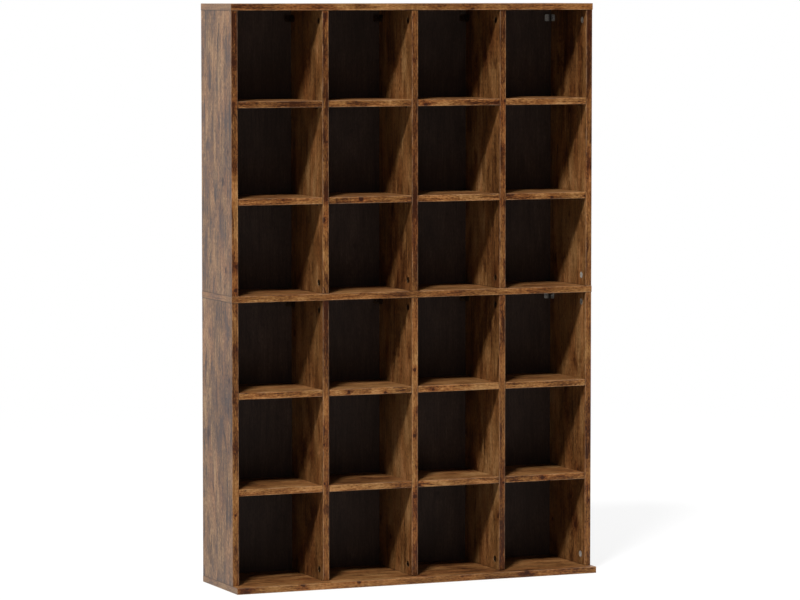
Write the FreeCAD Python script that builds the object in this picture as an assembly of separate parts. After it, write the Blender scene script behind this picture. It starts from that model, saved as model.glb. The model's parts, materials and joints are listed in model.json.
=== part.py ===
import FreeCAD, Part
import os

from FreeCAD import Vector

# Driving dimensions of the boards, in millimetres
board = 15.0                 # thickness of the boards
columns = 4
column_clear = 206.0         # clear width between two uprights
tiers = 3                    # bays above one another in each section
bay_clear = 205.0            # clear height of a bay
frame_depth = 197.0          # depth of the top and middle boards
base_lip = 30.0              # the base board's step in front of the boards above
front_reveal = 1.0           # uprights stand this far behind the top board's front edge
side_reveal = 0.5            # side panels stand this far inside the top board's ends
shelf_side_gap = 0.5         # free space at each end of a small shelf
shelf_back_gap = 0.5
back_thickness = 3.0         # hardboard at the rear
back_margin = 1.5            # hardboard edge inside the outline of the boards
back_joint = 1.0             # gap between the two hardboard sheets

# Cam locks and the bolts that they pull
cam_radius = 7.5
cam_floor = 2.5              # board left behind a cam's pocket
cam_sink = 0.2               # cam face below the board's face
cam_reach = 24.0             # from the end of an upright to the cam's axis
cam_inset = 24.0             # from the front edge of an upright to the cam's axis
recess_length = 9.0          # the cross in the cam's face
recess_width = 1.5
recess_depth = 2.0
bolt_shoulder_radius = 3.6
bolt_shoulder = 9.0          # length of the shoulder in an upright
bolt_shank_step = 0.9        # the shank is this much slimmer than the shoulder
bolt_neck_step = 0.8         # and the neck this much slimmer than the shank
bolt_neck = 3.0
bolt_room = 0.4              # around the shoulder in its hole
bolt_head_radius = 3.2
bolt_head = 4.4
head_room = 0.4              # around the bolt's head in the cam
thread_radius = 3.0
thread_skin = 4.5            # board left past the bolt's thread

# Wooden dowels in the same joints
dowel_radius = 4.0
dowel_chamfer = 1.0
dowel_in_upright = 20.0
dowel_skin = 5.0             # board left past a dowel
front_dowel_inset = 56.0     # in the upper end of an upright, from its front edge
rear_dowel_inset = 44.0      # from its rear edge
dowel_stagger = 16.0         # the lower end's dowels lie this much further back

# Supports that carry the small shelves
support_radius = 2.5
support_web = 2.0            # divider left between the holes from its two faces
support_flat = 1.8           # from the pin's axis up to the seat
support_reach = 9.0
support_width = 8.0
support_plate = 1.4
collar_radius = 3.6
collar_thickness = 0.8
support_front_inset = 32.0
support_rear_inset = 37.0

# Corner brackets between the uprights and the hardboard
bracket_wall_leg = 22.0
bracket_back_leg = 16.0
bracket_height = 16.0
bracket_thickness = 1.5
bracket_corner = 3.0         # rounding of the legs' free corners
bracket_drop = 20.0          # from the upper end of an upright to the bracket's middle
wall_screw_radius = 1.5
wall_screw_skin = 4.0        # board left past the screw
wall_screw_head_radius = 3.0
wall_screw_head = 1.8
back_screw_radius = 2.0
back_screw_head_radius = 3.75
back_screw_tip = 1.0         # past the bracket's leg

# Flush screws that hold the hardboard to the boards' rear edges
panel_screw_radius = 1.5
panel_screw_head_radius = 3.0
panel_screw_in_board = 12.0
panel_screws_per_upright = 4
panel_screw_margin = 62.0    # from the end of an upright to its first screw

hole_gap = 0.1               # around every pin, screw and dowel in its hole
end_gap = 0.2                # past its end

# Main planes, with the origin under the middle of the outline
section_height = tiers * bay_clear + (tiers - 1) * board
width = columns * column_clear + (columns + 1) * board + 2 * side_reveal
depth = base_lip + frame_depth + back_thickness
height = 2 * section_height + 3 * board
left_x = -width / 2
lip_y = -depth / 2
board_front_y = lip_y + base_lip
upright_front_y = board_front_y + front_reveal
rear_y = board_front_y + frame_depth
middle_z = board + section_height
top_z = height - board
section_floors = {"lower": board, "upper": middle_z + board}
uprights = range(columns + 1)
side_names = {0: "left_side", columns: "right_side"}

cam_height = board - cam_floor - cam_sink
bolt_hole_radius = bolt_shoulder_radius + bolt_room
bolt_shank_radius = bolt_shoulder_radius - bolt_shank_step
bolt_neck_radius = bolt_shank_radius - bolt_neck_step
thread_length = board - thread_skin
dowel_in_board = board - dowel_skin
support_hole = (board - support_web) / 2
wall_screw_length = board - wall_screw_skin
cam_y = upright_front_y + cam_inset
upper_dowels = [upright_front_y + front_dowel_inset, rear_y - rear_dowel_inset]
lower_dowels = [y + dowel_stagger for y in upper_dowels]
support_ys = [upright_front_y + support_front_inset, rear_y - support_rear_inset]


def upright_x(i):
    """Left face of upright i, counted from the left."""
    return left_x + side_reveal + i * (column_clear + board)


def upright_name(section, i):
    return f"{section}_" + side_names.get(i, f"divider_{i}")


def block(x, y, z):
    """A box from pairs of coordinates."""
    corner = Vector(x[0], y[0], z[0])
    return Part.makeBox(x[1] - x[0], y[1] - y[0], z[1] - z[0], corner)


def rod(radius, length, start, axis):
    return Part.makeCylinder(radius, length, start, axis)


def turned(profile, start, axis):
    """A solid of revolution from (distance along the axis, radius) points."""
    points = [Vector(r, 0, z) for z, r in profile]
    points = [Vector(0, 0, profile[0][0])] + points + [Vector(0, 0, profile[-1][0])]
    face = Part.Face(Part.makePolygon(points + points[:1]))
    solid = face.revolve(Vector(0, 0, 0), Vector(0, 0, 1), 360)
    turn = FreeCAD.Rotation(Vector(0, 0, 1), axis)
    solid.Placement = FreeCAD.Placement(start, turn)
    return solid


def cut(solid, tools):
    return solid.cut(Part.makeCompound(tools)) if tools else solid


def save(node, solids):
    shape = Part.makeCompound(solids) if len(solids) > 1 else solids[0]
    for solid in shape.Solids:
        assert solid.isValid() and solid.Volume > 0, node
    shape.exportStep(f"parts/{node}.step")
    print(node, len(shape.Solids), round(sum(s.Volume for s in shape.Solids), 1))


# The ends of the uprights: their joints with the boards above and below

def ends():
    """Each end of an upright: its section, which end, the joint's height and the way into the upright."""
    for section, floor in section_floors.items():
        yield section, "bottom", floor, 1
        yield section, "top", floor + section_height, -1


def inner_face(i):
    """The face that holds the cams and brackets, and the direction out of it."""
    return (upright_x(0) + board, 1) if i == 0 else (upright_x(i), -1)


def cam_lock(i, joint_z, inward):
    """A round cam with a cross in its face and a channel for the bolt's head."""
    face_x, out = inner_face(i)
    centre = Vector(face_x - out * cam_sink, cam_y, joint_z + inward * cam_reach)
    body = rod(cam_radius - hole_gap, cam_height, centre, Vector(-out, 0, 0))
    channel_radius = bolt_head_radius + head_room
    channel_start = Vector(upright_x(i) + board / 2, cam_y, centre.z + inward * channel_radius)
    channel = rod(channel_radius, channel_radius + cam_radius, channel_start, Vector(0, 0, -inward))
    arms = []
    for along_y, along_z in ((recess_length, recess_width), (recess_width, recess_length)):
        arms.append(block(
            sorted((centre.x, centre.x - out * recess_depth)),
            (cam_y - along_y / 2, cam_y + along_y / 2),
            (centre.z - along_z / 2, centre.z + along_z / 2),
        ))
    return cut(body, [channel] + arms)


def bolt_end():
    """Profile of a bolt from its joint to its head."""
    head_start = cam_reach - bolt_head / 2
    neck_start = head_start - bolt_neck
    return [
        (bolt_shoulder, bolt_shoulder_radius),
        (bolt_shoulder + bolt_shank_step, bolt_shank_radius),
        (neck_start, bolt_shank_radius),
        (neck_start, bolt_neck_radius),
        (head_start, bolt_neck_radius),
        (head_start, bolt_head_radius),
        (head_start + bolt_head, bolt_head_radius),
    ]


def cam_bolt(i, joint_z, inward):
    """A bolt screwed into a board, with its head in the cam."""
    profile = [(-thread_length, thread_radius), (0, thread_radius), (0, bolt_shoulder_radius)]
    start = Vector(upright_x(i) + board / 2, cam_y, joint_z)
    return turned(profile + bolt_end(), start, Vector(0, 0, inward))


def double_bolt(i):
    """A bolt through the middle board, with a head in the cam above and in the cam below."""
    upper = [(z + board / 2, r) for z, r in bolt_end()]
    lower = [(-z, r) for z, r in reversed(upper)]
    start = Vector(upright_x(i) + board / 2, cam_y, middle_z + board / 2)
    return turned(lower + upper, start, Vector(0, 0, 1))


def dowel(i, y, joint_z, inward):
    tip = dowel_radius - dowel_chamfer
    profile = [
        (-dowel_in_board, tip),
        (-dowel_in_board + dowel_chamfer, dowel_radius),
        (dowel_in_upright - dowel_chamfer, dowel_radius),
        (dowel_in_upright, tip),
    ]
    return turned(profile, Vector(upright_x(i) + board / 2, y, joint_z), Vector(0, 0, inward))


def dowel_ys(end):
    return upper_dowels if end == "top" else lower_dowels


def joint_holes_in_upright(i, section_wanted):
    """Cam pockets, bolt holes and dowel holes at both ends of one upright."""
    face_x, out = inner_face(i)
    mid_x = upright_x(i) + board / 2
    holes = []
    for section, end, joint_z, inward in ends():
        if section != section_wanted:
            continue
        cam_z = joint_z + inward * cam_reach
        up = Vector(0, 0, inward)
        pocket = board - cam_floor
        holes.append(rod(cam_radius, pocket, Vector(face_x, cam_y, cam_z), Vector(-out, 0, 0)))
        holes.append(rod(bolt_hole_radius, cam_reach, Vector(mid_x, cam_y, joint_z), up))
        for y in dowel_ys(end):
            reach = dowel_in_upright + end_gap
            holes.append(rod(dowel_radius + hole_gap, reach, Vector(mid_x, y, joint_z), up))
    return holes


def bolt_holes_in_board(joint_z, inward, radius, reach):
    """Bolt holes from one face of a horizontal board."""
    starts = [Vector(upright_x(i) + board / 2, cam_y, joint_z) for i in uprights]
    return [rod(radius, reach, start, Vector(0, 0, -inward)) for start in starts]


def dowel_holes_in_board(joint_z, inward, end):
    """Dowel holes in one face of a horizontal board."""
    reach = dowel_in_board + end_gap
    starts = [Vector(upright_x(i) + board / 2, y, joint_z) for i in uprights for y in dowel_ys(end)]
    return [rod(dowel_radius + hole_gap, reach, start, Vector(0, 0, -inward)) for start in starts]


# The small shelves and their supports

def shelf_levels(section):
    """Underside of each small shelf of a section."""
    floor = section_floors[section]
    return [floor + k * bay_clear + (k - 1) * board for k in range(1, tiers)]


def small_shelf(column, z):
    x0 = upright_x(column) + board
    return block(
        (x0 + shelf_side_gap, x0 + column_clear - shelf_side_gap),
        (upright_front_y, rear_y - shelf_back_gap),
        (z, z + board),
    )


def shelf_support(face_x, out, y, seat_z):
    """A pin with a collar at the board's face and a flat tongue under the shelf."""
    axis_z = seat_z - support_flat
    outward = Vector(out, 0, 0)
    pin_start = Vector(face_x - out * (support_hole - end_gap), y, axis_z)
    pin = rod(support_radius, support_hole - end_gap + support_reach / 2, pin_start, outward)
    collar = rod(collar_radius, collar_thickness, Vector(face_x, y, axis_z), outward)
    tongue = block(
        sorted((face_x, face_x + out * support_reach)),
        (y - support_width / 2, y + support_width / 2),
        (seat_z - support_plate, seat_z),
    )
    above = block(
        sorted((face_x, face_x + out * support_reach)),
        (y - support_width, y + support_width),
        (seat_z, seat_z + collar_radius + support_radius),
    )
    return pin.fuse([collar, tongue]).cut(above).removeSplitter()


def support_seats(section_wanted=None, upright_wanted=None):
    """Every support: the face of the upright it stands in, the way out of it, and its seat."""
    for section in section_floors:
        if section_wanted not in (None, section):
            continue
        for z in shelf_levels(section):
            for column in range(columns):
                left = upright_x(column) + board
                for i, face_x, out in ((column, left, 1), (column + 1, left + column_clear, -1)):
                    if upright_wanted not in (None, i):
                        continue
                    for y in support_ys:
                        yield face_x, out, y, z


def support_holes(section, i):
    holes = []
    for face_x, out, y, z in support_seats(section, i):
        start = Vector(face_x, y, z - support_flat)
        holes.append(rod(support_radius + hole_gap, support_hole, start, Vector(-out, 0, 0)))
    return holes


# Corner brackets in the upper rear corners of each section

def bracket_z(section):
    return section_floors[section] + section_height - bracket_drop


def bracket_points(i, section):
    """Middle of each leg's screw hole, on the upright's face and on the hardboard's face."""
    face_x, out = inner_face(i)
    z = bracket_z(section)
    wall_y = rear_y - bracket_thickness - (bracket_wall_leg - bracket_thickness) / 2
    back_x = face_x + out * (bracket_thickness + (bracket_back_leg - bracket_thickness) / 2)
    return Vector(face_x, wall_y, z), Vector(back_x, rear_y, z)


def bracket(i, section):
    face_x, out = inner_face(i)
    z = bracket_z(section)
    span = (z - bracket_height / 2, z + bracket_height / 2)
    wall_leg = block(
        sorted((face_x, face_x + out * bracket_thickness)),
        (rear_y - bracket_wall_leg, rear_y),
        span,
    )
    back_leg = block(
        sorted((face_x, face_x + out * bracket_back_leg)),
        (rear_y - bracket_thickness, rear_y),
        span,
    )
    wall_end = [e for e in wall_leg.Edges if e.BoundBox.YMax < rear_y - bracket_wall_leg / 2]
    wall_corners = [e for e in wall_end if e.BoundBox.XLength > e.BoundBox.ZLength]
    free_x = face_x + out * bracket_back_leg
    back_end = [e for e in back_leg.Edges if abs(e.CenterOfMass.x - free_x) < bracket_thickness]
    back_corners = [e for e in back_end if e.BoundBox.YLength > e.BoundBox.ZLength]
    wall_leg = wall_leg.makeFillet(bracket_corner, wall_corners)
    back_leg = back_leg.makeFillet(bracket_corner, back_corners)
    wall_point, back_point = bracket_points(i, section)
    return cut(wall_leg.fuse(back_leg).removeSplitter(), [
        rod(wall_screw_radius + hole_gap, bracket_thickness, wall_point, Vector(out, 0, 0)),
        rod(back_screw_radius + hole_gap, bracket_thickness, back_point, Vector(0, -1, 0)),
    ])


def wall_screw(i, section):
    """A round-headed screw through the bracket into the upright."""
    out = inner_face(i)[1]
    point = bracket_points(i, section)[0]
    profile = [
        (-wall_screw_length, wall_screw_radius / 2),
        (-wall_screw_length + wall_screw_radius, wall_screw_radius),
        (bracket_thickness, wall_screw_radius),
        (bracket_thickness, wall_screw_head_radius),
        (bracket_thickness + wall_screw_head / 2, wall_screw_head_radius),
        (bracket_thickness + wall_screw_head, wall_screw_head_radius / 2),
    ]
    return turned(profile, point, Vector(out, 0, 0))


def flush_screw(point, shank_radius, head_radius, length):
    """A screw whose flat head is flush with the hardboard's outer face, driven forwards."""
    cone = head_radius - shank_radius
    profile = [(0, head_radius), (cone, shank_radius), (length, shank_radius)]
    start = Vector(point.x, rear_y + back_thickness, point.z)
    return turned(profile, start, Vector(0, -1, 0))


def flush_hole(point, shank_radius, head_radius, length):
    cone = head_radius - shank_radius
    profile = [
        (0, head_radius + hole_gap),
        (cone, shank_radius + hole_gap),
        (length + end_gap, shank_radius + hole_gap),
    ]
    start = Vector(point.x, rear_y + back_thickness, point.z)
    return turned(profile, start, Vector(0, -1, 0))


def back_screw_size():
    length = back_thickness + bracket_thickness + back_screw_tip
    return back_screw_radius, back_screw_head_radius, length


def panel_screw_size():
    return panel_screw_radius, panel_screw_head_radius, back_thickness + panel_screw_in_board


def panel_screw_points(section):
    """Where the flush screws of one section's hardboard stand, on the rear plane."""
    points = []
    floor = section_floors[section]
    spacing = (section_height - 2 * panel_screw_margin) / (panel_screws_per_upright - 1)
    for i in uprights:
        for k in range(panel_screws_per_upright):
            z = floor + panel_screw_margin + k * spacing
            points.append(Vector(upright_x(i) + board / 2, rear_y, z))
    edge_z = board / 2 if section == "lower" else top_z + board / 2
    for column in range(columns):
        points.append(Vector(upright_x(column) + board + column_clear / 2, rear_y, edge_z))
    return points


def rear_edge_holes(section):
    return [flush_hole(p, *panel_screw_size()) for p in panel_screw_points(section)]


# The boards

def upright(section, i):
    """A side panel or a divider with all its holes."""
    floor = section_floors[section]
    x = upright_x(i)
    solid = block((x, x + board), (upright_front_y, rear_y), (floor, floor + section_height))
    out = inner_face(i)[1]
    wall_point = bracket_points(i, section)[0]
    screw_reach = wall_screw_length + end_gap
    holes = joint_holes_in_upright(i, section) + support_holes(section, i)
    holes.append(rod(wall_screw_radius + hole_gap, screw_reach, wall_point, Vector(-out, 0, 0)))
    holes += rear_edge_holes(section)
    return cut(solid, holes)


def horizontal(front_y, z, holes):
    solid = block((left_x, left_x + width), (front_y, rear_y), (z, z + board))
    return cut(solid, holes)


def back_panel(section):
    """Hardboard behind one section; the two sheets meet behind the middle board."""
    seam = middle_z + board / 2
    if section == "lower":
        span = (back_margin, seam - back_joint / 2)
    else:
        span = (seam + back_joint / 2, height - back_margin)
    x_span = (left_x + side_reveal + back_margin, left_x + width - side_reveal - back_margin)
    sheet = block(x_span, (rear_y, rear_y + back_thickness), span)
    holes = rear_edge_holes(section)
    for i in uprights:
        holes.append(flush_hole(bracket_points(i, section)[1], *back_screw_size()))
    return cut(sheet, holes)


def all_ends(wanted_uprights):
    for i in wanted_uprights:
        for section, end, joint_z, inward in ends():
            yield i, section, end, joint_z, inward


def dowels_at(chosen):
    """The dowels of the joints that chosen(section, end) picks."""
    found = []
    for i, section, end, joint_z, inward in all_ends(uprights):
        if chosen(section, end):
            found += [dowel(i, y, joint_z, inward) for y in dowel_ys(end)]
    return found


def main():
    os.makedirs("parts", exist_ok=True)
    dividers = list(uprights)[1:-1]
    sides = [uprights[0], uprights[-1]]

    thread_hole = (thread_radius + hole_gap, thread_length + end_gap)
    top_holes = bolt_holes_in_board(top_z, -1, *thread_hole) + dowel_holes_in_board(top_z, -1, "top")
    save("top_board", [horizontal(board_front_y, top_z, top_holes + rear_edge_holes("upper"))])
    middle_holes = bolt_holes_in_board(middle_z, -1, bolt_hole_radius, board)
    middle_holes += dowel_holes_in_board(middle_z, -1, "top")
    middle_holes += dowel_holes_in_board(middle_z + board, 1, "bottom")
    save("middle_board", [horizontal(board_front_y, middle_z, middle_holes)])
    base_holes = bolt_holes_in_board(board, 1, *thread_hole) + dowel_holes_in_board(board, 1, "bottom")
    save("base_board", [horizontal(lip_y, 0, base_holes + rear_edge_holes("lower"))])

    for section in section_floors:
        for i in uprights:
            save(upright_name(section, i), [upright(section, i)])
        save(f"{section}_back_panel", [back_panel(section)])

    row = 0
    for section in section_floors:
        for z in shelf_levels(section):
            row += 1
            for column in range(columns):
                save(f"shelf_r{row}_c{column + 1}", [small_shelf(column, z)])
    save("shelf_supports", [shelf_support(*seat) for seat in support_seats()])

    save("side_cam_locks", [cam_lock(i, z, way) for i, _, _, z, way in all_ends(sides)])
    save("divider_cam_locks", [cam_lock(i, z, way) for i, _, _, z, way in all_ends(dividers)])
    save("top_cam_bolts", [cam_bolt(i, top_z, -1) for i in uprights])
    save("base_cam_bolts", [cam_bolt(i, board, 1) for i in uprights])
    save("middle_double_bolts", [double_bolt(i) for i in uprights])
    save("top_dowels", dowels_at(lambda section, end: (section, end) == ("upper", "top")))
    save("base_dowels", dowels_at(lambda section, end: (section, end) == ("lower", "bottom")))
    middle_joints = (("upper", "bottom"), ("lower", "top"))
    save("middle_dowels", dowels_at(lambda section, end: (section, end) in middle_joints))

    save("side_brackets", [bracket(i, s) for s in section_floors for i in sides])
    save("divider_brackets", [bracket(i, s) for s in section_floors for i in dividers])
    save("bracket_wall_screws", [wall_screw(i, s) for s in section_floors for i in uprights])
    back_points = [bracket_points(i, s)[1] for s in section_floors for i in uprights]
    save("bracket_back_screws", [flush_screw(p, *back_screw_size()) for p in back_points])
    panel_points = [p for s in section_floors for p in panel_screw_points(s)]
    save("back_panel_screws", [flush_screw(p, *panel_screw_size()) for p in panel_points])


main()
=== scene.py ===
import json
import math
import random

import bmesh
import bpy
from mathutils import Matrix, Vector
from mathutils.geometry import tessellate_polygon


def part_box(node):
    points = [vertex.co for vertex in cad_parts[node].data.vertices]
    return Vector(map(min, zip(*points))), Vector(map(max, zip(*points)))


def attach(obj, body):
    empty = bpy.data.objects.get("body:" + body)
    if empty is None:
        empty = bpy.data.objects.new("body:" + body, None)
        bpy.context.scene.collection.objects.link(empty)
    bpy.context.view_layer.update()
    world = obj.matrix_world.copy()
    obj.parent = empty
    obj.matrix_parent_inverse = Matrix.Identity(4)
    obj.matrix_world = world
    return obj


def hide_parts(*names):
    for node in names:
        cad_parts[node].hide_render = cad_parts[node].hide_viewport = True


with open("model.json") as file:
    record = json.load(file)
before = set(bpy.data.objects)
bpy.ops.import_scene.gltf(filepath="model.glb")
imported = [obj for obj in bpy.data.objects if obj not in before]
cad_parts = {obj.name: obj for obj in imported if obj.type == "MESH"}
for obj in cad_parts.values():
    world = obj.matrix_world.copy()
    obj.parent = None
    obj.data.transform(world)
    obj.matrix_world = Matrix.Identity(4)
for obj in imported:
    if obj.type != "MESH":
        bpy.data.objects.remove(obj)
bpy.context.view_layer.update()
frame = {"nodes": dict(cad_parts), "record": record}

# Sizes in metres
WALL_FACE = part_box("upper_right_side")[0].x    # inner faces of the two sides, from the middle
BACK_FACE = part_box("upper_back_panel")[0].y    # inner face of the hardboard
NEAR_SIDE = WALL_FACE - 0.055                  # fittings further out are on a side, the rest on a divider
BAND = 0.001              # thickness of the edge banding
RIM = 0.002               # strip kept plain along the arrises without banding
ARRIS = 0.0008            # rounding of the boards' arrises
SHEET_ARRIS = 0.0003      # and of the hardboard's
WIRE_PITCH = 0.0016       # of the screen that the hardboard was pressed on

PRINT_LENGTH = 40.0       # the printed paper that every board's face is cut from
PRINT_WIDTH = 8.0
PAPER_ROLL = 14           # picks another set of cuts from the paper

# How near two points count as one, and how near a side a point lies on it
WELD = 2e-6
CUT = 1e-7
ON_SIDE = 1e-6
BY_SIDE = 1e-5
FLAT = math.radians(0.5)  # faces that meet at less than this are one

X, Y, Z = 0, 1, 2
FRONT = (Y, 0)
LEFT, RIGHT = (X, 0), (X, 1)
FOOT, HEAD = (Z, 0), (Z, 1)
OUTER_SIDES = {"left_side": LEFT, "right_side": RIGHT}

BODIES = frame["record"]["behaviour"]["bodies"]
BODY_OF = {node: body for body, nodes in BODIES.items() for node in nodes}


# Small helpers for node trees

def put(tree, value, socket):
    """A socket's value: a link from another socket, or a constant."""
    if isinstance(value, bpy.types.NodeSocket):
        tree.links.new(value, socket)
    else:
        socket.default_value = value


def calc(tree, operation, *values):
    node = tree.nodes.new("ShaderNodeMath")
    node.operation = operation
    for value, socket in zip(values, node.inputs):
        put(tree, value, socket)
    return node.outputs[0]


def total(tree, start, *terms):
    """start plus each value times its weight."""
    result = start
    for value, weight in terms:
        result = calc(tree, "MULTIPLY_ADD", value, weight, result)
    return result


def scaled(tree, place, along, across, shift=0.0):
    """The place times a number along and across the grain, moved to another part of the pattern."""
    node = tree.nodes.new("ShaderNodeVectorMath")
    node.operation = "MULTIPLY_ADD"
    put(tree, place, node.inputs[0])
    node.inputs[1].default_value = (along, across, across)
    node.inputs[2].default_value = (shift, shift * 0.7, shift * 0.3)
    return node.outputs[0]


def noise(tree, place, detail=2.0, roughness=0.5, flat=True):
    """Smooth noise about zero, mostly within half a unit either way."""
    node = tree.nodes.new("ShaderNodeTexNoise")
    node.noise_dimensions = "2D" if flat else "3D"
    put(tree, place, node.inputs["Vector"])
    node.inputs["Scale"].default_value = 1.0
    node.inputs["Detail"].default_value = detail
    node.inputs["Roughness"].default_value = roughness
    return calc(tree, "SUBTRACT", node.outputs["Fac"], 0.5)


def solid_noise(tree, place, pitch, detail=2.0, roughness=0.5, shift=0.0):
    """Noise through a solid piece, alike in every direction, with so many turns in a metre."""
    return noise(tree, scaled(tree, place, pitch, pitch, shift), detail, roughness, flat=False)


def step(tree, value, low, high):
    """A smooth rise from 0 at low to 1 at high."""
    node = tree.nodes.new("ShaderNodeMapRange")
    node.interpolation_type = "SMOOTHSTEP"
    put(tree, value, node.inputs["Value"])
    put(tree, low, node.inputs["From Min"])
    put(tree, high, node.inputs["From Max"])
    return node.outputs["Result"]


def bell(tree, value, width):
    """1 where the value is nothing, falling away over the width."""
    ratio = calc(tree, "DIVIDE", value, width)
    square = calc(tree, "MULTIPLY", ratio, ratio)
    return calc(tree, "EXPONENT", calc(tree, "MULTIPLY", square, -1.0))


def ramp(tree, value, stops):
    """A colour for the value, from stops of (value, colour)."""
    node = tree.nodes.new("ShaderNodeValToRGB")
    elements = node.color_ramp.elements
    while len(elements) < len(stops):
        elements.new(0.5)
    for element, (at, colour) in zip(elements, stops):
        element.position = at
        element.color = (*colour, 1.0)
    put(tree, value, node.inputs["Fac"])
    return node.outputs["Color"]


def mixed(tree, share, first, second, mode="MIX"):
    node = tree.nodes.new("ShaderNodeMix")
    node.data_type = "RGBA"
    node.blend_type = mode
    put(tree, share, node.inputs["Factor"])
    for value, socket in ((first, node.inputs[6]), (second, node.inputs[7])):
        put(tree, (*value, 1.0) if isinstance(value, tuple) else value, socket)
    return node.outputs[2]


def separate(tree, place):
    node = tree.nodes.new("ShaderNodeSeparateXYZ")
    tree.links.new(place, node.inputs[0])
    return node.outputs


def object_place(tree):
    return tree.nodes.new("ShaderNodeTexCoord").outputs["Object"]


def finish(name, **constants):
    """A new material with its shader, whose constant values sit on its own sockets."""
    material = bpy.data.materials.new(name)
    material.use_nodes = True
    tree = material.node_tree
    shader = tree.nodes["Principled BSDF"]
    for socket, value in constants.items():
        shader.inputs[socket.replace("_", " ")].default_value = value
    return material, tree, shader


def bump(tree, shader, height, depth):
    """Relief of the given depth in metres where the height goes from 0 to 1."""
    node = tree.nodes.new("ShaderNodeBump")
    node.inputs["Distance"].default_value = depth
    put(tree, height, node.inputs["Height"])
    tree.links.new(node.outputs["Normal"], shader.inputs["Normal"])


# The printed paper of the boards: x runs along the grain, y across it, in metres

GRAIN_TONES = [
    (0.00, (0.030, 0.0075, 0.0012)),
    (0.20, (0.058, 0.0175, 0.0035)),
    (0.42, (0.125, 0.0470, 0.0110)),
    (0.62, (0.190, 0.0810, 0.0210)),
    (0.82, (0.260, 0.1240, 0.0390)),
    (1.00, (0.330, 0.1740, 0.0650)),
]
REDDER = (1.08, 0.95, 0.90)          # tints of some stretches, and of the wood about a knot
ABOUT_KNOT = (1.0, 0.87, 0.78)

CONTROLS = ("lightness", "contrast", "fineness", "clouding", "knots", "knot_cells")
WHOLE = (1.0, 1.0)                   # how much finer the print is along and across the grain: on faces,
NARROW = (1.10, 0.95)                # and on the bandings at the front


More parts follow.
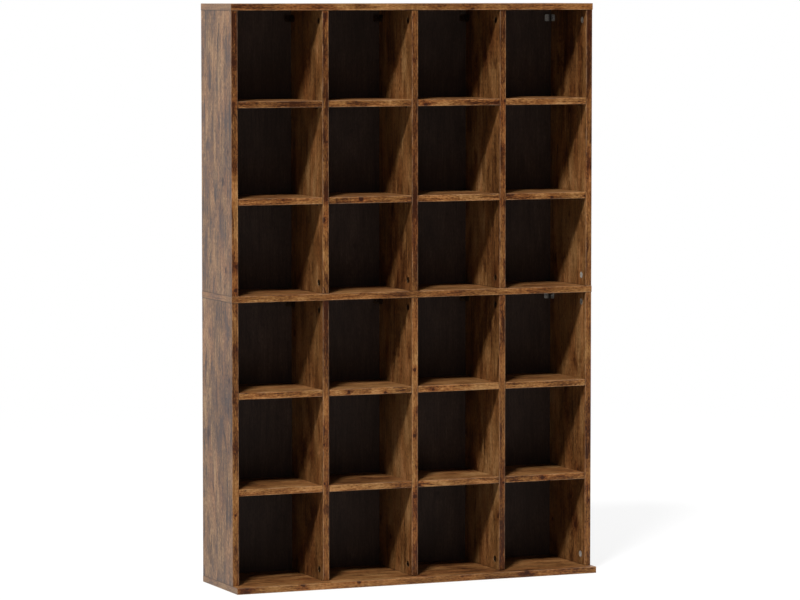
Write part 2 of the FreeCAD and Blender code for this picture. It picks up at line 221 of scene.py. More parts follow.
def rustic_print():
    """Node group of the rustic print: colour, relief and gloss at a place on the paper."""
    tree = bpy.data.node_groups.new("rustic print", "ShaderNodeTree")
    tree.interface.new_socket("Place", in_out="INPUT", socket_type="NodeSocketVector")
    for name in CONTROLS:
        tree.interface.new_socket(name, in_out="INPUT", socket_type="NodeSocketFloat")
    for name, kind in (("Colour", "Color"), ("Height", "Float"), ("Gloss", "Float")):
        tree.interface.new_socket(name, in_out="OUTPUT", socket_type="NodeSocket" + kind)
    given = tree.nodes.new("NodeGroupInput").outputs
    place = given["Place"]

    def grain(along, across, shift=0.0, detail=2.0, roughness=0.5):
        """Noise with so many turns in a metre along and across the grain."""
        return noise(tree, scaled(tree, place, along, across, shift), detail, roughness)

    # The grain wanders across the board
    straight = separate(tree, place)["Y"]
    sway = grain(1.3, 7.0)
    ripple = grain(13.0, 45.0, 3.1)
    waver = grain(48.0, 130.0, 3.9)
    across = total(tree, straight, (sway, 0.034), (ripple, 0.0070), (waver, 0.0018))

    # Knots, each in a cell of its own, in the given share of the cells; measured in cells
    cells = tree.nodes.new("ShaderNodeTexVoronoi")
    cells.voronoi_dimensions = "2D"
    tree.links.new(scaled(tree, place, 15.0, 19.0, 5.7), cells.inputs["Vector"])
    tree.links.new(given["knot_cells"], cells.inputs["Scale"])
    chance = tree.nodes.new("ShaderNodeSeparateColor")
    tree.links.new(cells.outputs["Color"], chance.inputs[0])
    fewest = calc(tree, "SUBTRACT", 1.0, given["knots"])
    there = step(tree, chance.outputs["Red"], fewest, calc(tree, "ADD", fewest, 0.02))
    radius = total(tree, 0.070, (chance.outputs["Green"], 0.100))
    uneven = grain(90.0, 190.0, 1.9)
    distance = total(tree, cells.outputs["Distance"], (uneven, 0.070))
    around = calc(tree, "MULTIPLY", bell(tree, distance, calc(tree, "MULTIPLY", radius, 2.8)), there)
    core_edge = calc(tree, "MULTIPLY", radius, 0.45)
    core = calc(tree, "MULTIPLY", step(tree, distance, radius, core_edge), there)

    # Growth lines, which bend round the knots, each rising slowly and ending sharply
    drift = grain(1.7, 8.0, 8.3)
    phase = total(tree, 0.0, (across, 85.0), (drift, 12.0), (around, 3.6))
    saw = calc(tree, "FRACT", phase)
    fall = calc(tree, "SUBTRACT", 1.0, step(tree, saw, 0.94, 1.0))
    line = calc(tree, "MULTIPLY", step(tree, saw, 0.66, 0.93), fall)
    fine_saw = calc(tree, "FRACT", total(tree, 0.0, (phase, 3.3), (ripple, 2.0)))
    fine_fall = calc(tree, "SUBTRACT", 1.0, step(tree, fine_saw, 0.85, 1.0))
    fine_line = calc(tree, "MULTIPLY", step(tree, fine_saw, 0.35, 0.85), fine_fall)
    clear = step(tree, grain(14.0, 40.0, 2.2, 3.0), -0.08, 0.14)
    lines = calc(tree, "MULTIPLY", line, clear)

    # Stains, streaks and fibres along the grain, and marks of the saw across it
    broad = grain(2.0, 7.0, 4.4)
    patch = grain(12.0, 36.0, 6.1, 4.0, 0.50)
    streak = grain(30.0, 230.0, 7.7, 3.0, 0.58)
    fleck = grain(120.0, 460.0, 8.8)
    fibre = grain(9.0, 620.0, 9.2)
    seam = grain(7.0, 130.0, 21.3)
    stain = step(tree, grain(13.0, 62.0, 11.3, 3.0), 0.07, 0.22)
    tick = step(tree, grain(62.0, 380.0, 12.9), 0.17, 0.28)
    gold = step(tree, grain(34.0, 190.0, 14.5), 0.12, 0.27)
    saw_mark = grain(380.0, 3.0, 16.8, 1.0)

    # Each pattern lightens the wood by its weight, or darkens it
    fine = total(
        tree, 0.0,
        (streak, 0.45), (seam, 0.42), (fleck, 0.90), (fibre, 0.60),
        (saw_mark, 0.10), (fine_line, -0.08), (tick, -0.26),
    )
    figure = total(
        tree, calc(tree, "MULTIPLY", fine, given["fineness"]),
        (broad, given["clouding"]), (patch, 0.70), (lines, -0.22), (stain, -0.20),
        (gold, 0.08), (around, -0.14), (core, -0.45),
    )
    tone = total(tree, given["lightness"], (figure, given["contrast"]))
    colour = ramp(tree, tone, GRAIN_TONES)
    colour = mixed(tree, step(tree, grain(6.0, 30.0, 18.4), -0.15, 0.2), colour, REDDER, "MULTIPLY")
    colour = mixed(tree, around, colour, ABOUT_KNOT, "MULTIPLY")

    height = total(tree, 0.5, (fibre, 0.6), (streak, 0.3), (saw_mark, 0.25), (tick, -0.4), (lines, -0.15))
    gloss = total(tree, 0.0, (streak, 0.10), (patch, 0.12), (lines, 0.04), (core, 0.08))
    out = tree.nodes.new("NodeGroupOutput")
    for value, socket in zip((colour, height, gloss), out.inputs):
        tree.links.new(value, socket)
    return tree


PRINT = rustic_print()


def printed(tree, scale, **controls):
    """The print at the piece's own place on the paper."""
    uv = tree.nodes.new("ShaderNodeUVMap")
    uv.uv_map = "print"
    group = tree.nodes.new("ShaderNodeGroup")
    group.node_tree = PRINT
    tree.links.new(scaled(tree, uv.outputs["UV"], *scale), group.inputs["Place"])
    for name, value in controls.items():
        group.inputs[name].default_value = value
    return group.outputs


# Materials of the boards and the back

PLAIN = (1.0, 1.0, 1.0)              # tints over the print: on the bandings, inside and outside; the one outside greys the print as a painted sheen of the white surroundings
MELLOW = (1.0, 1.06, 1.18)
OUTSIDE_PAINTED_SHEEN = (1.0, 1.15, 1.50)
RUBBED = (0.34, 0.20, 0.11)
DIRT = (0.018, 0.009, 0.005)
MELAMINE_ROUGHNESS = 0.43
FACE_RELIEF = 0.00012
BAND_RELIEF = 0.00008


def laminate(name, ior, tint, relief, scale, **controls):
    """Printed melamine; its open arrises are rubbed to a lighter brown, and those in joints hold dirt."""
    material, tree, shader = finish(name, IOR=ior)
    colour, height, gloss = printed(tree, scale, **controls)
    colour = mixed(tree, 1.0, colour, tint, "MULTIPLY")
    marked = tree.nodes.new("ShaderNodeAttribute")
    marked.attribute_name = "arris"
    arris = marked.outputs["Fac"]
    rub = solid_noise(tree, object_place(tree), 40.0, 3.0)
    worn = calc(tree, "MULTIPLY", calc(tree, "MAXIMUM", arris, 0.0), step(tree, rub, -0.25, 0.25))
    colour = mixed(tree, calc(tree, "MULTIPLY", worn, 0.55), colour, RUBBED)
    joint = calc(tree, "MULTIPLY", calc(tree, "MINIMUM", arris, 0.0), -0.45)
    colour = mixed(tree, joint, colour, DIRT)
    tree.links.new(colour, shader.inputs["Base Color"])
    tree.links.new(total(tree, MELAMINE_ROUGHNESS, (gloss, 1.0)), shader.inputs["Roughness"])
    bump(tree, shader, height, relief)
    return material


def raw_board():
    """Particleboard where it is cut or drilled."""
    material, tree, shader = finish("raw_particleboard", Roughness=0.9, IOR=1.4)
    place = object_place(tree)
    chips = tree.nodes.new("ShaderNodeTexVoronoi")
    tree.links.new(scaled(tree, place, 420.0, 420.0), chips.inputs["Vector"])
    chips.inputs["Scale"].default_value = 1.0
    dust = solid_noise(tree, place, 1500.0, 3.0)
    chip = tree.nodes.new("ShaderNodeSeparateColor")
    tree.links.new(chips.outputs["Color"], chip.inputs[0])
    tone = total(tree, 0.0, (chip.outputs["Red"], 0.8), (dust, 0.7))
    colour = ramp(tree, tone, [
        (0.0, (0.16, 0.095, 0.045)),
        (0.5, (0.34, 0.23, 0.12)),
        (1.0, (0.52, 0.39, 0.23)),
    ])
    tree.links.new(colour, shader.inputs["Base Color"])
    bump(tree, shader, total(tree, 0.5, (chips.outputs["Distance"], 0.5), (dust, 0.8)), 0.0003)
    return material


def hardboard_face():
    """The hardboard's inner face: the same print, painted nearly black-brown."""
    material, tree, shader = finish("dark_hardboard", Roughness=0.6, IOR=1.36)
    colour, height, _ = printed(
        tree, WHOLE, lightness=0.53, contrast=1.0, fineness=1.0, clouding=0.7, knots=0.1, knot_cells=1.0,
    )
    grey = tree.nodes.new("ShaderNodeRGBToBW")
    tree.links.new(colour, grey.inputs[0])
    tone = calc(tree, "MULTIPLY", grey.outputs[0], 4.0)
    dark = ramp(tree, tone, [
        (0.00, (0.027, 0.0155, 0.0105)),
        (0.45, (0.054, 0.031, 0.0215)),
        (1.00, (0.093, 0.057, 0.040)),
    ])
    tree.links.new(dark, shader.inputs["Base Color"])
    bump(tree, shader, height, 0.0001)
    return material


def hardboard_back():
    """The bare outer face of hardboard: pressed fibres with the print of the wire screen."""
    material, tree, shader = finish("bare_hardboard", Roughness=0.82, IOR=1.4)
    place = object_place(tree)
    cloud = solid_noise(tree, place, 16.0, 5.0, 0.65)
    fibres = solid_noise(tree, place, 420.0, 4.0, 0.65)
    flecks = step(tree, solid_noise(tree, place, 230.0, shift=4.0), 0.12, 0.26)
    tone = total(tree, 0.5, (cloud, 0.35), (fibres, 0.9), (flecks, -0.25))
    colour = ramp(tree, tone, [
        (0.0, (0.085, 0.045, 0.022)),
        (0.5, (0.190, 0.108, 0.055)),
        (1.0, (0.300, 0.185, 0.100)),
    ])
    tree.links.new(colour, shader.inputs["Base Color"])
    at = separate(tree, place)
    turns = math.tau / WIRE_PITCH
    wires = [calc(tree, "SINE", calc(tree, "MULTIPLY", at[axis], turns)) for axis in ("X", "Z")]
    screen = calc(tree, "MULTIPLY", *wires)
    bump(tree, shader, total(tree, 0.5, (screen, 0.25), (fibres, 0.5)), 0.00025)
    return material


# Materials of the fittings

def metal(name, light, dark, roughness, pitch, metallic=1.0):
    """Cast or plated metal with a cloudy surface and pits, so many in a metre; duller where it isn't wholly
    metallic."""
    material, tree, shader = finish(name, Metallic=metallic)
    place = object_place(tree)
    cloud = solid_noise(tree, place, 260.0, 3.0, 0.6)
    pits = solid_noise(tree, place, pitch, shift=2.0)
    colour = mixed(tree, step(tree, cloud, -0.3, 0.3), dark, light)
    tree.links.new(colour, shader.inputs["Base Color"])
    tree.links.new(total(tree, roughness, (cloud, 0.25), (pits, 0.10)), shader.inputs["Roughness"])
    bump(tree, shader, pits, 0.00004)
    return material


def bent_zinc():
    """Plated strip with painted shade in the corner of wall and back, where it is bent: its colour goes
    nearly black there.
    """
    material, tree, shader = finish("bent_zinc", Metallic=0.4)
    place = object_place(tree)
    at = separate(tree, place)
    from_wall = calc(tree, "SUBTRACT", WALL_FACE, calc(tree, "ABSOLUTE", at["X"]))
    from_back = calc(tree, "SUBTRACT", BACK_FACE, at["Y"])
    # painted shade: nearly black within a few millimetres of the corner of wall and back, plain plating
    # beyond
    free = step(tree, calc(tree, "MAXIMUM", from_wall, from_back), 0.0035, 0.0095)
    cloud = solid_noise(tree, place, 420.0, 3.0, 0.6)
    plated = mixed(tree, step(tree, cloud, -0.3, 0.3), (0.36, 0.35, 0.33), (0.60, 0.59, 0.56))
    tree.links.new(mixed(tree, free, (0.045, 0.040, 0.036), plated), shader.inputs["Base Color"])
    tree.links.new(total(tree, 0.42, (cloud, 0.25)), shader.inputs["Roughness"])
    bump(tree, shader, cloud, 0.00003)
    return material


def beech():
    material, tree, shader = finish("beech", Roughness=0.65)
    place = object_place(tree)
    pores = solid_noise(tree, place, 2500.0)
    growth = solid_noise(tree, place, 300.0, 3.0)
    tone = total(tree, 0.5, (growth, 0.8), (pores, 0.4))
    colour = ramp(tree, tone, [
        (0.0, (0.42, 0.25, 0.12)),
        (0.5, (0.58, 0.39, 0.21)),
        (1.0, (0.70, 0.51, 0.31)),
    ])
    tree.links.new(colour, shader.inputs["Base Color"])
    bump(tree, shader, pores, 0.0001)
    return material


FACE = laminate(
    "rustic_face", 1.45, MELLOW, FACE_RELIEF, WHOLE,
    lightness=0.56, contrast=1.25, fineness=0.90, clouding=0.70, knots=0.10, knot_cells=1.0,
)
# the outer faces and their bandings take the grey tint of painted sheen
OUTER_FACE = laminate(
    "outer_face", 1.47, OUTSIDE_PAINTED_SHEEN, FACE_RELIEF, WHOLE,
    lightness=0.55, contrast=1.95, fineness=0.75, clouding=0.50, knots=0.06, knot_cells=1.0,
)
OUTER_BANDING = laminate(
    "outer_banding", 1.47, OUTSIDE_PAINTED_SHEEN, BAND_RELIEF, WHOLE,
    lightness=0.58, contrast=1.10, fineness=0.70, clouding=0.40, knots=0.00, knot_cells=1.0,
)
UPRIGHT_BANDING = laminate(
    "upright_banding", 1.30, PLAIN, BAND_RELIEF, NARROW,
    lightness=0.46, contrast=1.25, fineness=0.80, clouding=1.00, knots=0.50, knot_cells=1.3,
)
SHELF_BANDING = laminate(
    "shelf_banding", 1.30, PLAIN, BAND_RELIEF, NARROW,
    lightness=0.66, contrast=1.50, fineness=0.85, clouding=0.70, knots=0.22, knot_cells=1.3,
)
BOARD_BANDING = laminate(
    "board_banding", 1.30, PLAIN, BAND_RELIEF, NARROW,
    lightness=0.58, contrast=1.30, fineness=0.80, clouding=0.70, knots=0.25, knot_cells=1.3,
)
RAW = raw_board()
DARK_HARDBOARD = hardboard_face()
BARE_HARDBOARD = hardboard_back()
CAST_ZINC = metal(
    "cast_zinc", light=(0.58, 0.56, 0.52), dark=(0.36, 0.34, 0.31), roughness=0.50, pitch=2600.0,
    metallic=0.45,
)
ZINC_WITH_PAINTED_CORNER_SHADE = bent_zinc()
BRIGHT_ZINC = metal(
    "bright_zinc", light=(0.72, 0.71, 0.68), dark=(0.52, 0.52, 0.52), roughness=0.28, pitch=1800.0,
)
BRONZED = metal(
    "bronzed", light=(0.105, 0.066, 0.040), dark=(0.045, 0.028, 0.018), roughness=0.42, pitch=2200.0,
)
BEECH = beech()


# Boards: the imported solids, with rounded arrises, edge banding and a place on the print for each face

def merged_copy(node):
    """A solid's mesh with its loose triangles joined."""
    bm = bmesh.new()
    bm.from_mesh(frame["nodes"][node].data)
    bmesh.ops.remove_doubles(bm, verts=bm.verts, dist=WELD)
    return bm


def cut_strips(bm, low, high, margins):
    """Cuts a strip along every side of the board, so that its arrises run through plain faces."""
    for axis in (X, Y, Z):
        normal = Vector((axis == X, axis == Y, axis == Z))
        for at in (low[axis] + margins[axis][0], high[axis] - margins[axis][1]):
            everything = bm.verts[:] + bm.edges[:] + bm.faces[:]
            found = bmesh.ops.bisect_plane(
                bm, geom=everything, dist=CUT, plane_co=normal * at, plane_no=normal,
            )
            for item in found["geom_cut"]:
                if isinstance(item, bmesh.types.BMEdge):
                    item.seam = True
    bmesh.ops.dissolve_limit(bm, angle_limit=FLAT, verts=bm.verts, edges=bm.edges, delimit={"SEAM"})


def on_sides(point, low, high, room):
    """Which outer sides of the board a point lies on, as (axis, 0 or 1)."""
    sides = set()
    for axis in (X, Y, Z):
        if point[axis] < low[axis] + room:
            sides.add((axis, 0))
        if point[axis] > high[axis] - room:
            sides.add((axis, 1))
    return sides


def bevel(bm, edges, width, segments):
    """Rounds the edges and gives the new vertices."""
    made = bmesh.ops.bevel(
        bm, geom=edges, offset=width, offset_type="OFFSET", segments=segments, profile=0.5,
        affect="EDGES", clamp_overlap=True,
    )
    return made["verts"]


def arrises_of(bm, low, high):
    """The edges along which two outer sides meet."""
    arrises = []
    for edge in bm.edges:
        first, second = (on_sides(vert.co, low, high, ON_SIDE) for vert in edge.verts)
        if len(first & second) >= 2 and len(edge.link_faces) == 2:
            arrises.append(edge)
    return arrises


def paper_window(name, side):
    """Where on the printed paper one face of a board was cut."""
    draw = random.Random(f"{name} {side} {PAPER_ROLL}")
    return Vector((draw.uniform(0, PRINT_LENGTH), draw.uniform(0, PRINT_WIDTH)))


def place_piece(mesh, node):
    """Makes a mesh a piece of its own name on the node's body, in place of the plain node."""
    piece = bpy.data.objects.new(mesh.name, mesh)
    bpy.context.scene.collection.objects.link(piece)
    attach(piece, BODY_OF[node])
    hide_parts(node)
    return piece


def save_piece(bm, node, ending, materials):
    mesh = bpy.data.meshes.new(node + ending)
    bm.to_mesh(mesh)
    bm.free()
    for material in materials:
        mesh.materials.append(material)
    return place_piece(mesh, node)


INSIDE, BANDED, CUT_OPEN, OUTSIDE, BANDED_OUTSIDE = range(5)      # the materials of a board, in this order
FRONT_FIRST = 0.01        # a slanting face counts as facing front or back rather than aside
WITH_ROOM = 1.05          # reaches the vertices at the far edge of a rounding
SQUARELY = 0.9            # of a unit normal, for a face that looks along one axis


def dress_board(node, length, thickness, banded, outer, joined, banding):
    """length and thickness are axes; banded holds the sides with edge banding, outer the sides seen from
    outside, joined the arrises in joints."""
    low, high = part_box(node)
    margins = [[BAND if (axis, end) in banded else RIM for end in (0, 1)] for axis in (X, Y, Z)]
    margins[thickness] = [RIM, RIM]
    bm = merged_copy(node)
    cut_strips(bm, low, high, margins)
    arris = bm.verts.layers.float.new("arris")
    uv = bm.loops.layers.uv.new("print")
    for vert in bevel(bm, arrises_of(bm, low, high), ARRIS, 2):
        sides = on_sides(vert.co, low, high, ARRIS * WITH_ROOM)
        vert[arris] = -1.0 if any(pair <= sides for pair in joined) else 1.0
    windows = {}
    for face in bm.faces:
        centre = face.calc_center_median()
        normal = face.normal
        axis = max((X, Y, Z), key=lambda a: abs(normal[a]) + (FRONT_FIRST if a == Y else 0.0))
        side = (axis, int(normal[axis] > 0))
        near = on_sides(centre, low, high, BAND)
        covered = sorted(near & banded)
        if side not in on_sides(centre, low, high, ARRIS + BY_SIDE):
            face.material_index = CUT_OPEN
        elif side in outer and FRONT not in near:
            face.material_index = BANDED_OUTSIDE if side in banded else OUTSIDE
        elif side in banded or (axis == thickness and covered):
            face.material_index = BANDED
        elif axis == thickness:
            face.material_index = INSIDE
        else:
            face.material_index = CUT_OPEN
        band_side = covered[0] if axis == thickness and covered else side
        window = windows.setdefault(band_side, paper_window(node, band_side))
        along = length if band_side[0] != length else Y
        across = Y if band_side[0] == thickness else thickness
        for loop in face.loops:
            co = loop.vert.co
            loop[uv].uv = window + Vector((co[along], co[across]))
    save_piece(bm, node, "_laminated", (FACE, banding, RAW, OUTER_FACE, OUTER_BANDING))


def dress_boards():
    for node in frame["nodes"]:
        if node.startswith("shelf_r"):
            dress_board(node, X, Z, {FRONT, LEFT, RIGHT}, set(), [{LEFT}, {RIGHT}], SHELF_BANDING)
        elif node.endswith("_side") or "_divider_" in node:
            outer = {side for name, side in OUTER_SIDES.items() if node.endswith(name)}
            dress_board(node, Z, X, {FRONT}, outer, [{FOOT}, {HEAD}], UPRIGHT_BANDING)
    ends = {LEFT, RIGHT}
    for node, outer, meeting in (
        ("top_board", ends | {HEAD}, [FOOT]),
        ("middle_board", ends, [FOOT, HEAD]),
        ("base_board", ends, [HEAD]),
    ):
        joined = [{end, side} for end in (LEFT, RIGHT) for side in meeting]
        dress_board(node, X, Z, {FRONT, LEFT, RIGHT}, outer, joined, BOARD_BANDING)


def dress_hardboard(node):
    """A back panel: dark inside, bare outside and at its edges."""
    low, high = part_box(node)
    bm = merged_copy(node)
    cut_strips(bm, low, high, [[RIM] * 2, [SHEET_ARRIS * 2] * 2, [RIM] * 2])
    bevel(bm, arrises_of(bm, low, high), SHEET_ARRIS, 1)
    uv = bm.loops.layers.uv.new("print")
    window = paper_window(node, "inner face")
    for face in bm.faces:
        inner = face.normal.y < -SQUARELY and face.calc_center_median().y < low.y + BY_SIDE
        face.material_index = 0 if inner else 1
        for loop in face.loops:
            co = loop.vert.co
            loop[uv].uv = window + Vector((co.z, co.x))
    save_piece(bm, node, "_sheet", (DARK_HARDBOARD, BARE_HARDBOARD))


# Fittings

SHARP = math.radians(40.0)           # edges sharper than this are rounded
KEEP_SHARP = math.radians(50.0)      # and left sharp in the shading, beyond this
SCREW_SHARP = math.radians(35.0)


def soften(node, material, width):
    """A fitting's solids with their sharp edges slightly rounded."""
    bm = merged_copy(node)
    bmesh.ops.dissolve_limit(bm, angle_limit=FLAT, verts=bm.verts, edges=bm.edges)
    bevel(bm, [e for e in bm.edges if len(e.link_faces) == 2 and e.calc_face_angle(0.0) > SHARP], width, 2)
    piece = save_piece(bm, node, "_fitting", (material,))
    piece.data.shade_smooth()
    piece.data.set_sharp_from_angle(angle=KEEP_SHARP)
    piece.modifiers.new("even shading", "WEIGHTED_NORMAL").keep_sharp = True


def ring_points(radius, height, count):
    return [
        Vector((radius * math.cos(math.tau * k / count), radius * math.sin(math.tau * k / count), height))
        for k in range(count)
    ]


def cross_points(arm, half_width, height):
    """Outline of a cross, anticlockwise."""
    a, w = arm, half_width
    quarter = [(a, -w), (a, w), (w, w)]
    outline = quarter + [(w, a), (-w, a), (-w, w), (-a, w), (-a, -w), (-w, -w), (-w, -a), (w, -a), (w, -w)]
    return [Vector((x, y, height)) for x, y in outline]


SCREW_SEGMENTS = 32
MOUTH_WIDTH = 0.24                   # half width of the cross at its mouth, as a share of its arm,
FLOOR_ARM = 0.55                     # and the same for its arm and half width at its floor
FLOOR_WIDTH = 0.12


def screw_mesh(name, profile, arm, recess_depth):
    """A screw along -Z, its head's face at the top and in it a cross. The profile is (radius, height) from
    the face's rim down to the tip."""
    bm = bmesh.new()

    def loop(points):
        return [bm.verts.new(p) for p in points]

    def join(upper, lower):
        count = len(upper)
        for k in range(count):
            bm.faces.new((upper[k], lower[k], lower[(k + 1) % count], upper[(k + 1) % count]))

    rings = [loop(ring_points(r, h, SCREW_SEGMENTS)) for r, h in profile]
    for upper, lower in zip(rings, rings[1:]):
        join(upper, lower)
    bm.faces.new(list(reversed(rings[-1])))
    rim_radius, top = profile[0]
    mouth = cross_points(arm, arm * MOUTH_WIDTH, top)
    mouth_verts = loop(mouth)
    floor_verts = loop(cross_points(arm * FLOOR_ARM, arm * FLOOR_WIDTH, top - recess_depth))
    rim = ring_points(rim_radius, top, SCREW_SEGMENTS)
    head_verts = rings[0] + mouth_verts[::-1]
    for triangle in tessellate_polygon([rim, mouth[::-1]]):
        bm.faces.new([head_verts[index] for index in triangle])
    join(mouth_verts, floor_verts)
    bm.faces.new(floor_verts)
    bmesh.ops.recalc_face_normals(bm, faces=bm.faces)
    mesh = bpy.data.meshes.new(name)
    bm.to_mesh(mesh)
    bm.free()
    mesh.shade_smooth()
    mesh.set_sharp_from_angle(angle=SCREW_SHARP)
    return mesh


SCREW_INPUTS = (
    ("Points", "Geometry"), ("Screw", "Object"), ("Full turn", "Float"), ("Seed", "Int"),
    ("Finish", "Material"),
)


def screws_tree():
    """Geometry nodes: a screw at every point, its head towards the point's aim, turned at random."""
    tree = bpy.data.node_groups.new("driven screws", "GeometryNodeTree")
    for name, kind in SCREW_INPUTS:
        tree.interface.new_socket(name, in_out="INPUT", socket_type="NodeSocket" + kind)
    tree.interface.new_socket("Screws", in_out="OUTPUT", socket_type="NodeSocketGeometry")
    nodes, links = tree.nodes, tree.links
    given = nodes.new("NodeGroupInput").outputs
    screw = nodes.new("GeometryNodeObjectInfo")
    aim = nodes.new("GeometryNodeInputNamedAttribute")
    aim.data_type = "FLOAT_VECTOR"
    aim.inputs["Name"].default_value = "aim"
    align = nodes.new("FunctionNodeAlignRotationToVector")
    align.axis = "Z"
    angle = nodes.new("FunctionNodeRandomValue")
    turn = nodes.new("FunctionNodeAxisAngleToRotation")
    turn.inputs["Axis"].default_value = (0.0, 0.0, 1.0)
    both = nodes.new("FunctionNodeRotateRotation")
    both.rotation_space = "LOCAL"
    instance = nodes.new("GeometryNodeInstanceOnPoints")
    real = nodes.new("GeometryNodeRealizeInstances")
    paint = nodes.new("GeometryNodeSetMaterial")
    out = nodes.new("NodeGroupOutput").inputs
    largest = [s for s in angle.inputs if s.name == "Max" and s.type == "VALUE"][0]
    number = [s for s in angle.outputs if s.type == "VALUE"][0]
    for start, end in (
        (given["Screw"], screw.inputs["Object"]),
        (given["Full turn"], largest),
        (given["Seed"], angle.inputs["Seed"]),
        (aim.outputs["Attribute"], align.inputs["Vector"]),
        (number, turn.inputs["Angle"]),
        (align.outputs["Rotation"], both.inputs["Rotation"]),
        (turn.outputs["Rotation"], both.inputs["Rotate By"]),
        (given["Points"], instance.inputs["Points"]),
        (screw.outputs["Geometry"], instance.inputs["Instance"]),
        (both.outputs["Rotation"], instance.inputs["Rotation"]),
        (instance.outputs["Instances"], real.inputs["Geometry"]),
        (real.outputs["Geometry"], paint.inputs["Geometry"]),
        (given["Finish"], paint.inputs["Material"]),
        (paint.outputs["Geometry"], out["Screws"]),
    ):
        links.new(start, end)
    return tree


SCREWS_TREE = screws_tree()
PANEL_SEED, SIDE_SEED, DIVIDER_SEED = 3, 5, 7             # for the turns of the screws


def islands(node):
    """Lowest and highest corner of each separate solid of a node."""
    bm = merged_copy(node)
    boxes, seen = [], set()
    for start in bm.verts:
        if start in seen:
            continue
        seen.add(start)
        queue, found = [start], []
        while queue:
            vert = queue.pop()
            found.append(vert.co.copy())
            for edge in vert.link_edges:
                other = edge.other_vert(vert)
                if other not in seen:
                    seen.add(other)
                    queue.append(other)
        boxes.append([Vector(f(co[a] for co in found) for a in (X, Y, Z)) for f in (min, max)])
    bm.free()
    return boxes


def drive_screws(node, ending, mesh, aims, seed, material):
    """Detailed screws in place of a node's plain ones; aims gives each solid's head centre and direction."""
    points = bpy.data.meshes.new(node + "_points")
    points.from_pydata([at for at, _ in aims], [], [])
    direction = points.attributes.new("aim", "FLOAT_VECTOR", "POINT")
    for item, (_, way) in zip(direction.data, aims):
        item.vector = way
    screw = bpy.data.objects.new(node + "_pattern", mesh)
    carrier = bpy.data.objects.new(node + "_carrier", points)
    for obj in (screw, carrier):
        bpy.context.scene.collection.objects.link(obj)
    modifier = carrier.modifiers.new("screws", "NODES")
    modifier.node_group = SCREWS_TREE
    inputs = [item for item in SCREWS_TREE.interface.items_tree if item.in_out == "INPUT"]
    names = {item.name: item.identifier for item in inputs}
    for name, value in (("Screw", screw), ("Full turn", math.tau), ("Seed", seed), ("Finish", material)):
        modifier[names[name]] = value
    bpy.context.view_layer.update()
    done = bpy.data.meshes.new_from_object(carrier.evaluated_get(bpy.context.evaluated_depsgraph_get()))
    for obj in (screw, carrier):
        bpy.data.objects.remove(obj)
    done.name = node + ending
    place_piece(done, node)


def flat_screw(name, node):
    """A countersunk screw of the size of the node's solids."""
    low, high = islands(node)[0]
    head = (high.x - low.x) / 2
    length = high.y - low.y
    shank = head * 0.5
    rim = 0.0001
    profile = [
        (head * 0.97, 0.0), (head, -rim), (shank, -(head - shank) - rim), (shank, -length + shank),
        (shank * 0.2, -length),
    ]
    return screw_mesh(name, profile, head * 0.58, head * 0.42)


def pan_screw(name, node):
    """A round-headed screw of the size of the node's solids."""
    low, high = islands(node)[0]
    head = (high.z - low.z) / 2
    length = high.x - low.x
    shank = head * 0.5
    crown = head * 0.6
    profile = [
        (head * 0.50, 0.0), (head * 0.80, -crown * 0.22), (head * 0.97, -crown * 0.60), (head, -crown),
        (shank, -crown), (shank, -length + shank), (shank * 0.2, -length),
    ]
    return screw_mesh(name, profile, head * 0.42, crown * 0.7)


def rear_aims(node):
    """Screws driven in from behind."""
    return [(Vector(((a.x + b.x) / 2, b.y, (a.z + b.z) / 2)), Vector((0, 1, 0))) for a, b in islands(node)]


def wall_aims(node):
    """Screws driven into the walls: those that reach into the left side go left, and all others right."""
    aims = []
    for low, high in islands(node):
        into_left = low.x < -WALL_FACE
        at = Vector((high.x if into_left else low.x, (low.y + high.y) / 2, (low.z + high.z) / 2))
        aims.append((at, Vector((1 if into_left else -1, 0, 0))))
    return aims


def dress_fittings():
    for node, material, slot, width in (
        ("side_cam_locks", CAST_ZINC, "zinc_fitting", 0.00025),
        ("divider_cam_locks", BRONZED, "bronzed_fitting", 0.00025),
        ("side_brackets", ZINC_WITH_PAINTED_CORNER_SHADE, "zinc_fitting", 0.0003),
        ("divider_brackets", BRONZED, "bronzed_fitting", 0.0003),
        ("shelf_supports", BRONZED, "bronzed_fitting", 0.0002),
    ):
        soften(node, material, width)
    panel, back, wall = "back_panel_screws", "bracket_back_screws", "bracket_wall_screws"
    panel_screw = flat_screw("panel_screw", panel)
    drive_screws(panel, "_driven", panel_screw, rear_aims(panel), PANEL_SEED, BRONZED)
    for node, screw, aims in (
        (back, flat_screw("bracket_screw", back), rear_aims(back)),
        (wall, pan_screw("wall_screw", wall), wall_aims(wall)),
    ):
        at_sides = [aim for aim in aims if abs(aim[0].x) > NEAR_SIDE]
        at_dividers = [aim for aim in aims if abs(aim[0].x) < NEAR_SIDE]
        drive_screws(node, "_zinc", screw, at_sides, SIDE_SEED, BRIGHT_ZINC)
        drive_screws(node, "_bronzed", screw, at_dividers, DIVIDER_SEED, BRONZED)
    for material, nodes in (
        (BRIGHT_ZINC, ("top_cam_bolts", "base_cam_bolts", "middle_double_bolts")),
        (BEECH, ("top_dowels", "base_dowels", "middle_dowels")),
    ):
        for node in nodes:
            solid = frame["nodes"][node]
            solid.data.materials.clear()
            solid.data.materials.append(material)


# Camera, light and floor

CAMERA_AT = (-3.6515, -8.6390, 1.3677)
CAMERA_YAW = math.radians(22.901)        # to the right of straight at the back
CAMERA_PITCH = math.radians(4.386)       # downwards
CAMERA_LENS = 182.39
ROOM_LIGHT = 0.22                        # light of the room from all round, and more of it from behind
LIGHT_BEHIND = 0.30
FRONT_GLOSS = 0.03                       # what glossy rays meet in front of the object; behind it is white
FLOOR_GAP = 0.0002                       # keeps the floor off the base's underside
FLOOR_RADIUS = 45.0
SEEN_WHITE = 0.82                        # share of plain white in the floor near the object, for the camera


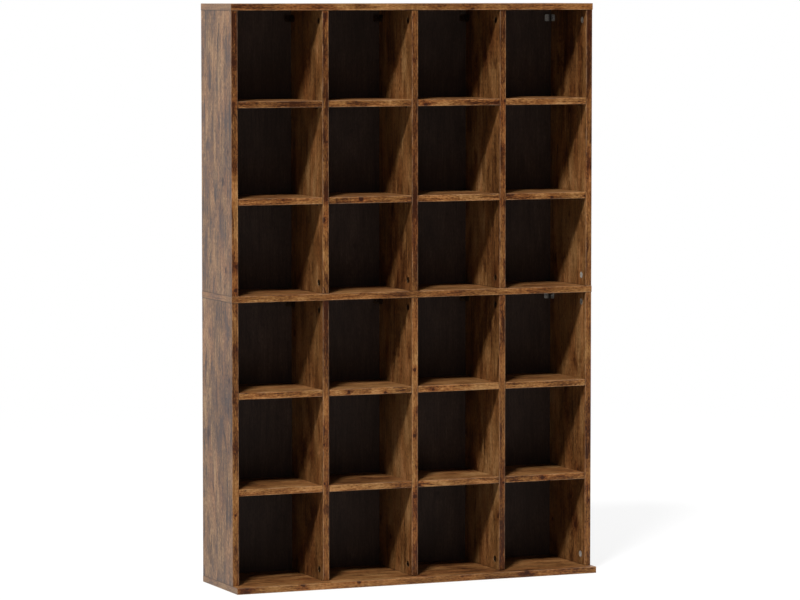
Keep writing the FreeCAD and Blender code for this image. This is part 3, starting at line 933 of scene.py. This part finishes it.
def place_camera():
    data = bpy.data.cameras.new("camera")
    data.lens = CAMERA_LENS
    data.sensor_width = 36.0
    data.clip_end = 200.0
    camera = bpy.data.objects.new("camera", data)
    camera.location = CAMERA_AT
    camera.rotation_euler = (math.pi / 2 - CAMERA_PITCH, 0.0, -CAMERA_YAW)
    bpy.context.scene.collection.objects.link(camera)
    bpy.context.scene.camera = camera


def area_light(name, at, aim, size, power):
    data = bpy.data.lights.new(name, "AREA")
    data.shape = "DISK"
    data.size = size
    data.energy = power
    light = bpy.data.objects.new(name, data)
    light.location = at
    light.rotation_euler = (Vector(aim) - Vector(at)).to_track_quat("-Z", "Y").to_euler()
    bpy.context.scene.collection.objects.link(light)


def blended(tree, share, first, second):
    """One shader over another."""
    node = tree.nodes.new("ShaderNodeMixShader")
    for value, socket in zip((share, first, second), node.inputs):
        tree.links.new(value, socket)
    return node.outputs[0]


def make_world():
    """White to the camera, and in reflections white behind the object but dark in front of it."""
    world = bpy.data.worlds.new("studio")
    world.use_nodes = True
    bpy.context.scene.world = world
    tree = world.node_tree
    tree.nodes.clear()
    path = tree.nodes.new("ShaderNodeLightPath").outputs
    direction = tree.nodes.new("ShaderNodeTexCoord").outputs["Generated"]
    behind = step(tree, separate(tree, direction)["Y"], -0.75, 0.15)
    mirrored = total(tree, FRONT_GLOSS, (behind, 1.0 - FRONT_GLOSS))
    diffuse = total(tree, ROOM_LIGHT, (behind, LIGHT_BEHIND))
    plain, mirror, white = (tree.nodes.new("ShaderNodeBackground") for _ in range(3))
    tree.links.new(diffuse, plain.inputs["Strength"])
    tree.links.new(mirrored, mirror.inputs["Strength"])
    for node in (plain, mirror, white):
        node.inputs["Color"].default_value = (1.0, 1.0, 1.0, 1.0)
    room = blended(tree, path["Is Glossy Ray"], plain.outputs[0], mirror.outputs[0])
    seen = calc(tree, "MAXIMUM", path["Is Camera Ray"], path["Is Transmission Ray"])
    out = tree.nodes.new("ShaderNodeOutputWorld")
    tree.links.new(blended(tree, seen, room, white.outputs[0]), out.inputs["Surface"])


def make_floor():
    """A wide pale floor that reads as white to the camera and keeps the shadow."""
    bm = bmesh.new()
    just_below = Matrix.Translation((0.0, 0.0, -FLOOR_GAP))
    bmesh.ops.create_circle(bm, cap_ends=True, segments=64, radius=FLOOR_RADIUS, matrix=just_below)
    mesh = bpy.data.meshes.new("floor")
    bm.to_mesh(mesh)
    bm.free()
    floor = bpy.data.objects.new("floor", mesh)
    bpy.context.scene.collection.objects.link(floor)
    material, tree, shader = finish("pale_floor", Roughness=0.8)
    path = tree.nodes.new("ShaderNodeLightPath").outputs
    seen = calc(tree, "MAXIMUM", path["Is Camera Ray"], path["Is Transmission Ray"])
    tree.links.new(mixed(tree, seen, (0.45, 0.45, 0.44), (0.88, 0.88, 0.88)), shader.inputs["Base Color"])
    place = object_place(tree)
    length = tree.nodes.new("ShaderNodeVectorMath")
    length.operation = "LENGTH"
    tree.links.new(place, length.inputs[0])
    away = length.outputs["Value"]

    # Glossy rays meet a floor that is white behind the object and near it, and dark in front
    behind = step(tree, separate(tree, place)["Y"], -0.5, 1.5)
    near = step(tree, away, 5.5, 1.0)
    bright = calc(tree, "MAXIMUM", behind, near)
    both = calc(tree, "MULTIPLY", behind, near)
    mirrored = total(tree, FRONT_GLOSS, (bright, 1.0 - FRONT_GLOSS), (both, -0.25))

    # The camera sees it fade into plain white away from the object
    far = step(tree, away, 1.2, 4.0)
    strength = total(tree, calc(tree, "MULTIPLY", mirrored, path["Is Glossy Ray"]), (seen, 1.0))
    white = tree.nodes.new("ShaderNodeEmission")
    tree.links.new(strength, white.inputs["Strength"])
    share = calc(tree, "MULTIPLY", total(tree, SEEN_WHITE, (far, 1.0 - SEEN_WHITE)), seen)
    share = calc(tree, "MAXIMUM", share, path["Is Glossy Ray"])
    surface = blended(tree, share, shader.outputs[0], white.outputs[0])
    tree.links.new(surface, tree.nodes["Material Output"].inputs["Surface"])
    mesh.materials.append(material)


dress_boards()
dress_hardboard("lower_back_panel")
dress_hardboard("upper_back_panel")
dress_fittings()

place_camera()
area_light("key", at=(-5.8, -7.5, 11.8), aim=(0.0, 0.0, 0.7), size=2.2, power=2900.0)
area_light("rim", at=(4.5, 3.0, 3.0), aim=(0.0, 0.0, 0.6), size=2.5, power=110.0)
make_world()
make_floor()
bpy.context.scene.view_settings.view_transform = "Standard"
